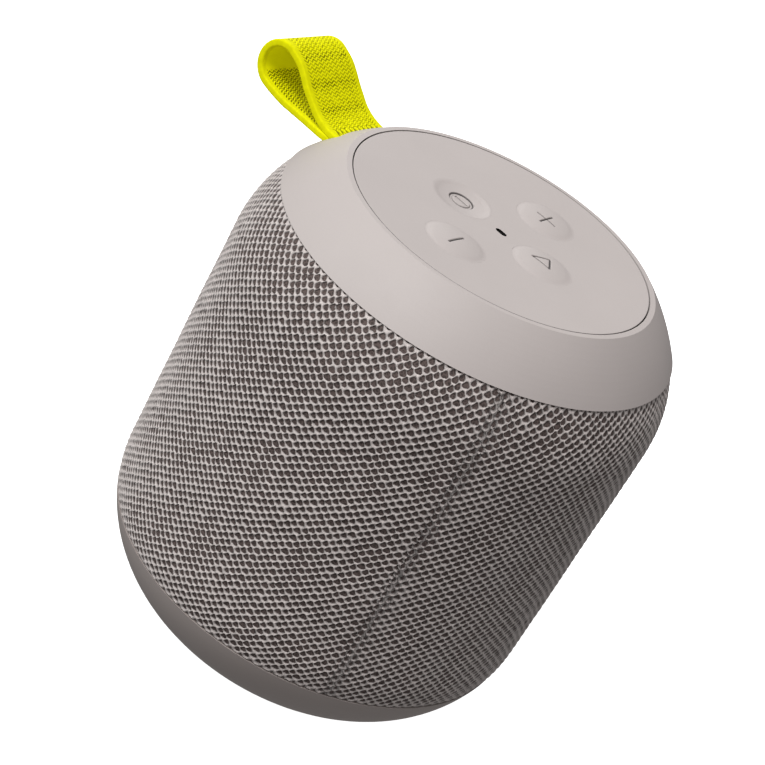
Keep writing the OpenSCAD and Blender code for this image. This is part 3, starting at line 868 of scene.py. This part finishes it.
# Size and height of the rings of the cloth under the microphone's opening
CLOTH_RINGS = [
    (1.0, PANEL_UNDER_Z - 0.02),
    (0.9, PANEL_UNDER_Z - 0.02),
    (0.7, PANEL_UNDER_Z - 0.05),
    (0.4, PANEL_UNDER_Z - 0.08),
    (0.02, PANEL_UNDER_Z - 0.1),
]


def panel_height(x, y):
    """Height of the dished panel, a shallow part of a large ball."""
    return PANEL_RIM_Z - DISH + BALL_R - np.sqrt(BALL_R**2 - x * x - y * y)


def circle_points(at, r, n):
    """Points round a circle in X and Y."""
    a = np.arange(n) * TAU / n
    return np.stack([at[0] + r * np.cos(a), at[1] + r * np.sin(a)], -1)


def mic_points(grow=0.0):
    """Round-ended opening in the middle, long along Y."""
    r = MIC_HALF[0] + grow
    reach = MIC_HALF[1] - MIC_HALF[0]
    a = np.arange(12) * math.pi / 11
    top = np.stack([r * np.cos(a), reach + r * np.sin(a)], -1)
    return np.concatenate([top, -top])


def clear_of_keys(points, distance):
    """Which points lie further than a distance from the middle of every button."""
    return np.all([np.hypot(*(points - at).T) > distance for at in KEY_PLACES], 0)


def panel_triangles(loops):
    """Points in X and Y and upward triangles that fill the rim and leave the holes open."""
    grid = np.arange(-PANEL_R, PANEL_R, PANEL_PITCH)
    gx, gy = np.meshgrid(grid, grid)
    gx = gx + np.where(np.arange(len(grid))[:, None] % 2, PANEL_PITCH / 2, 0)
    inner = np.stack([gx.ravel(), gy.ravel()], -1)
    from_middle = np.hypot(*inner.T)
    keep = (from_middle < PANEL_R - RIM_ROLL - 0.5) & (from_middle > 2.0)
    keep &= clear_of_keys(inner, HOLE_R + 0.45)
    edges, start = [], 0
    for loop in loops:
        n = len(loop)
        edges += [(start + i, start + (i + 1) % n) for i in range(n)]
        start += n
    points = np.concatenate([*loops, inner[keep]])
    found = delaunay_2d_cdt([Vector(p) for p in points], edges, [], 0, 1e-6)
    flat = np.array([tuple(p) for p in found[0]])
    tris = np.array([t for t in found[2] if len(t) == 3])
    middle = flat[tris].mean(1)
    solid = (np.hypot(*middle.T) < PANEL_R) & clear_of_keys(middle, HOLE_R * 0.999)
    solid &= np.any(np.abs(middle) >= MIC_HALF, 1)
    tris = tris[solid]
    a, b, c = flat[tris[:, 0]], flat[tris[:, 1]], flat[tris[:, 2]]
    flip = (b[:, 0] - a[:, 0]) * (c[:, 1] - a[:, 1]) - (b[:, 1] - a[:, 1]) * (c[:, 0] - a[:, 0]) < 0
    tris[flip] = tris[flip][:, ::-1]
    return flat, tris


def make_panel():
    """Dished skin with round holes for the buttons, a rolled rim and walls down to its ledge."""
    flat_r = PANEL_R - RIM_ROLL
    holes = [circle_points(at, HOLE_R, HOLE_SEGMENTS) for at in KEY_PLACES]
    holes.append(mic_points())
    flat, tris = panel_triangles([circle_points((0, 0), flat_r, PANEL_SEGMENTS), *holes])
    top = np.column_stack([flat, panel_height(*flat.T)])
    rim_z = panel_height(flat_r, 0)
    rolled = np.stack(
        [flat_r + RIM_ROLL * np.sin(ROLL_STEPS), rim_z - RIM_ROLL * (1 - np.cos(ROLL_STEPS))], -1
    )
    rim = lathe_points([*rolled, (PANEL_R, PANEL_UNDER_Z)], PANEL_SEGMENTS)
    # The rim's lower rings carry painted shade for the groove round the panel
    points, dark = [top, rim], [np.zeros(len(top)), np.repeat(RIM_PAINTED_SHADE, PANEL_SEGMENTS)]
    quads = [len(top) + strip_faces(len(RIM_PAINTED_SHADE), PANEL_SEGMENTS, True)[:, ::-1]]
    count = len(top) + len(rim)
    # Painted shade turns the microphone opening's wall near black
    for loop, wall_painted_shade in zip(holes, (0, 0, 0, 0, 1)):
        lip = np.column_stack([loop, panel_height(*loop.T)])
        foot = np.column_stack([loop, np.full(len(loop), PANEL_UNDER_Z)])
        points += [lip, foot]
        dark.append(np.full(2 * len(loop), wall_painted_shade))
        quads.append(count + strip_faces(2, len(loop), True))
        count += 2 * len(loop)
    points.append(np.column_stack([flat, np.full(len(flat), PANEL_UNDER_Z)]))
    dark.append(np.zeros(len(flat)))
    piece = mesh_object(
        "panel_skin_sheet",
        np.concatenate(points),
        [tris, *quads, tris[:, ::-1] + count],
        {"painted_shade": np.concatenate(dark)},
    )
    return dress(piece, "panel_skin")


def make_mic_cloth():
    """Fine cloth under the opening in the middle, over the microphone, painted near black as the shade
    deep in the opening.
    """
    outline = mic_points(0.5)
    rings = [np.column_stack([outline * k, np.full(len(outline), z)]) for k, z in CLOTH_RINGS]
    faces = [strip_faces(len(rings), len(outline), True)]
    piece = mesh_object("mic_cloth", np.concatenate(rings), faces)
    n = Nodes("mic_cloth")
    thread = n.noise(0.12, 2, 0.5)
    # Near-black painted shade, darker than cloth
    tone = n.ramp(thread, [(0.4, (0.001, 0.001, 0.001)), (0.7, (0.006, 0.006, 0.006))])
    cloth = n.finish(tone, n.scale(thread, 0.9, 1.0), n.bump(thread, 0.04), Specular_IOR_Level=0.0)
    return dress(piece, "black_rubber", cloth)


BUTTON_R = 6.43
DOME_H = 0.6
DOME_EDGE = 0.24
KEY_GRID = 126
FLANGE_R = 7.3
FLANGE_T = 0.6
STEM_R = 2.0

# Width and depth of the grooves of the marks, and how dark their painted shade is
LINE_W = 0.44
LINE_DEEP = 0.24
LINE_PAINTED_SHADE = 0.88


def stroke(x, y, a, b):
    """Distance from a straight stroke between two points."""
    a, b = np.array(a, float), np.array(b, float)
    run = b - a
    t = np.clip(((x - a[0]) * run[0] + (y - a[1]) * run[1]) / (run @ run), 0, 1)
    return np.hypot(x - a[0] - t * run[0], y - a[1] - t * run[1])


# Each mark returns the distance from its grooves and the distance from its lines of painted shade


def power_mark(x, y):
    """Ring with a bar inside it."""
    ring = np.hypot(x - 0.15, y)
    bar = stroke(x, y, (0.15, -1.35), (0.15, 1.35))
    # Lines of painted shade along the ring groove's outer and inner edges
    lines = np.minimum(np.abs(ring - 2.58) + 0.07, np.abs(ring - 2.0) + 0.16)
    grooves = np.minimum(np.abs(ring - 2.3) - 0.16, bar - 0.1)
    return grooves, np.minimum(lines, np.abs(bar - 0.3) + 0.17)


def plus_mark(x, y):
    """Upright cross."""
    cross = np.minimum(stroke(x, y, (-2.25, 0), (2.25, 0)), stroke(x, y, (0, -2.25), (0, 2.25)))
    return cross, cross


def minus_mark(x, y):
    """One level bar."""
    bar = stroke(x, y, (-2.5, 0), (2.5, 0))
    return bar, bar


def play_mark(x, y):
    """Outline of a triangle that points to the right."""
    corners = [(-0.1, 2.6), (3.4, 0.45), (-0.1, -1.8)]
    sides = [stroke(x, y, corners[k], corners[(k + 1) % 3]) for k in range(3)]
    outline = np.minimum(np.minimum(sides[0], sides[1]), sides[2])
    return outline, outline


def disc_grid(r):
    """X and Y of a square grid of points, spread so that its border lies on a circle."""
    grid = np.linspace(-1, 1, KEY_GRID)
    u, v = np.meshgrid(grid, grid, indexing="ij")
    return r * u * np.sqrt(1 - v * v / 2), r * v * np.sqrt(1 - u * u / 2)


def disc_border():
    """Numbers of the grid's points on its border, in order round it."""
    index = np.arange(KEY_GRID * KEY_GRID).reshape(KEY_GRID, KEY_GRID)
    return np.concatenate([index[0, :-1], index[:-1, -1], index[-1, :0:-1], index[:0:-1, 0]])


def button_walls(rim, at, stem_z):
    """Rings of points from the rim down the skirt, round the flange and down the stem."""
    flange_z = PANEL_LOW[2] - 0.1
    rings = [
        (1.0, None),
        (1.0, flange_z),
        (FLANGE_R / BUTTON_R, flange_z),
        (FLANGE_R / BUTTON_R, flange_z - FLANGE_T),
        (STEM_R / BUTTON_R, flange_z - FLANGE_T),
        (STEM_R / BUTTON_R, stem_z),
        (0.01, stem_z),
    ]
    walls = []
    for share, height in rings:
        ring = rim.copy()
        ring[:, :2] = np.array(at) + (rim[:, :2] - at) * share
        if height is not None:
            ring[:, 2] = height
        walls.append(ring)
    return walls


def make_button(name, at, mark, way):
    """Button with a domed top (way 1) or a hollow one (way -1), a mark, a flange and a stem."""
    x, y = disc_grid(BUTTON_R)
    q = np.clip(np.hypot(x, y) / BUTTON_R, 0, 1)
    edge = np.clip((1 - q) / DOME_EDGE, 0, 1)
    swell = way * DOME_H * (1 - q * q) * edge * (2 - edge)
    groove, line = mark(x, y)
    cut = smoothstep((LINE_W / 2 + 0.07 - groove) / 0.16)
    z = panel_height(x + at[0], y + at[1]) + swell - LINE_DEEP * cut
    top = np.stack([x + at[0], y + at[1], z], -1).reshape(-1, 3)
    rim = top[disc_border()]
    walls = button_walls(rim, at, stem_z=box_mm(name)[0][2])
    points = np.concatenate([top, *walls])
    quads = [strip_faces(KEY_GRID, KEY_GRID, False)[:, ::-1]]
    quads.append(len(top) + strip_faces(len(walls), len(rim), True))
    dark = np.zeros(len(points))
    # Painted shade darkens the marks' grooves and the power ring's edges
    dark[: len(top)] = smoothstep((LINE_W / 2 + 0.06 - line) / 0.14).ravel() * LINE_PAINTED_SHADE
    piece = mesh_object(name.replace("button", "key_cap"), points, quads, {"painted_shade": dark})
    piece = dress(piece, "panel_skin")
    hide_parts(name)
    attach(piece, name.replace("button", "key"))
    return piece


panel = make_panel()
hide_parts("control_panel")
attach(panel, "housing")
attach(make_mic_cloth(), "housing")

# The power button is hollow and the others are domed
make_button("power_button", POWER_AT, power_mark, -1)
make_button("play_button", PLAY_AT, play_mark, 1)
make_button("plus_button", PLUS_AT, plus_mark, 1)
make_button("minus_button", MINUS_AT, minus_mark, 1)


# ---- Camera, floor and lights ----

CAMERA_AT = Vector((-318.05, -136.98, 249.97)) * MM
AIM = Vector((-2.24, 4.99, 57.17)) * MM
ROLL = math.radians(29.80)
LENS = 91.76
FLOOR_R = 6000
FLOOR_DROP = 0.02


def camera_axes():
    """The camera's right, up and ahead directions."""
    ahead = (AIM - CAMERA_AT).normalized()
    level = ahead.cross(Vector((0, 0, 1))).normalized()
    upright = level.cross(ahead)
    right = math.cos(ROLL) * level + math.sin(ROLL) * upright
    return right, right.cross(ahead), ahead


def place_camera():
    """Camera that looks at the aim point, rolled so that the object leans in its view."""
    right, up, ahead = camera_axes()
    data = bpy.data.cameras.new("camera")
    data.lens = LENS
    data.sensor_width = 36
    data.clip_start = 0.02
    data.clip_end = 20
    camera = bpy.data.objects.new("camera", data)
    bpy.context.scene.collection.objects.link(camera)
    camera.matrix_world = Matrix(
        [
            (right.x, up.x, -ahead.x, CAMERA_AT.x),
            (right.y, up.y, -ahead.y, CAMERA_AT.y),
            (right.z, up.z, -ahead.z, CAMERA_AT.z),
            (0, 0, 0, 1),
        ]
    )
    bpy.context.scene.camera = camera


def area_light(name, offset, size, power, tint=(1, 1, 1)):
    """Soft light at an offset of (right, up, towards the camera) from the aim point, in metres."""
    right, up, ahead = camera_axes()
    data = bpy.data.lights.new(name, "AREA")
    data.shape = "DISK"
    data.size = size
    data.energy = power
    data.color = tint
    light = bpy.data.objects.new(name, data)
    bpy.context.scene.collection.objects.link(light)
    light.location = AIM + right * offset[0] + up * offset[1] - ahead * offset[2]
    light.rotation_mode = "QUATERNION"
    light.rotation_quaternion = (AIM - light.location).to_track_quat("-Z", "Y")


def make_floor():
    """White floor that glows, a wide disc that casts no light or reflection on the object."""
    rings = np.geomspace(0.5, FLOOR_R, 40)
    points = lathe_points([(r, -FLOOR_DROP) for r in rings], 96)
    floor = mesh_object("floor", points, [strip_faces(len(rings), 96, True)])
    n = Nodes("floor_paint")
    tone = n.ramp(n.noise(400, 2), [(0.3, (0.90, 0.90, 0.90)), (0.7, (0.93, 0.93, 0.93))])
    material = n.finish(
        tone, n.scale(n.noise(60), 0.8, 0.9), Emission_Color=(1, 1, 1, 1), Emission_Strength=1.0
    )
    floor.data.materials.append(material)
    floor.visible_diffuse = False
    floor.visible_glossy = False


place_camera()
make_floor()

world = bpy.data.worlds.new("studio")
world.use_nodes = True
world.node_tree.nodes["Background"].inputs["Color"].default_value = (1, 1, 1, 1)
world.node_tree.nodes["Background"].inputs["Strength"].default_value = 0.24
bpy.context.scene.world = world

area_light("key", (0.0, 1.0, 1.2), 0.8, 16.5)
area_light("side", (-0.9, 1.1, 0.7), 0.7, 6.2, (0.93, 1.0, 0.99))
area_light("back", (0.2, 1.2, -0.8), 0.8, 4)

bpy.context.scene.view_settings.view_transform = "Standard"
